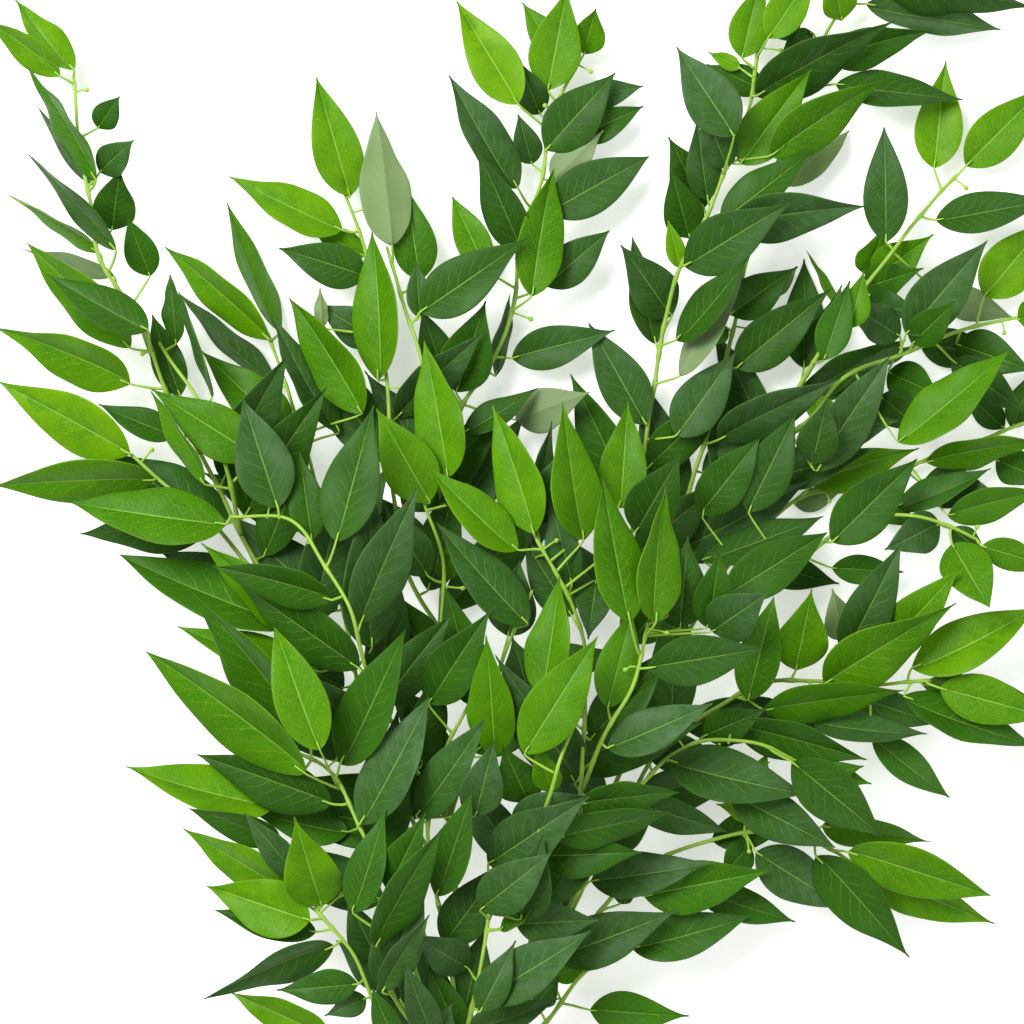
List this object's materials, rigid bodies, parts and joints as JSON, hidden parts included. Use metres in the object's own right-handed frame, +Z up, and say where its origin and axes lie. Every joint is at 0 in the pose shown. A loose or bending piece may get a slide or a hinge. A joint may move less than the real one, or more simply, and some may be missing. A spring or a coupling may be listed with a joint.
{
  "type": "ruscus stem",
  "caption": "Cut, much-branched leafy ruscus stem lying flat: long sprays of pointed green leaves fan out from one woody stem.",
  "frame": {"origin": "on the surface that the stem lies on, under the middle of its length and width", "axes": "+Z up from the surface, +Y from the cut foot along the stem towards the leafy tips, +X to the right as seen from above with the tips away"},
  "size_m": [0.5446, 0.7388, 0.1096],
  "materials": {
    "leaf": "leathery leaf, deep green to bright yellow-green, soft sheen",
    "twig": "smooth pale green young twig, browner towards its foot",
    "bark": "matt olive-brown bark, pale cut end"
  },
  "bodies": {
    "root": {"main_stem": "bark", "spray_right_band": "leaf", "spray_upper_right": "leaf", "spray_top": "leaf", "spray_left_inner": "leaf", "spray_right_mid": "leaf", "spray_centre": "leaf", "spray_low_dark": "leaf", "spray_middle_dark": "leaf", "spray_low_left": "leaf", "spray_lowest_left": "leaf"}
  },
  "joints": []
}
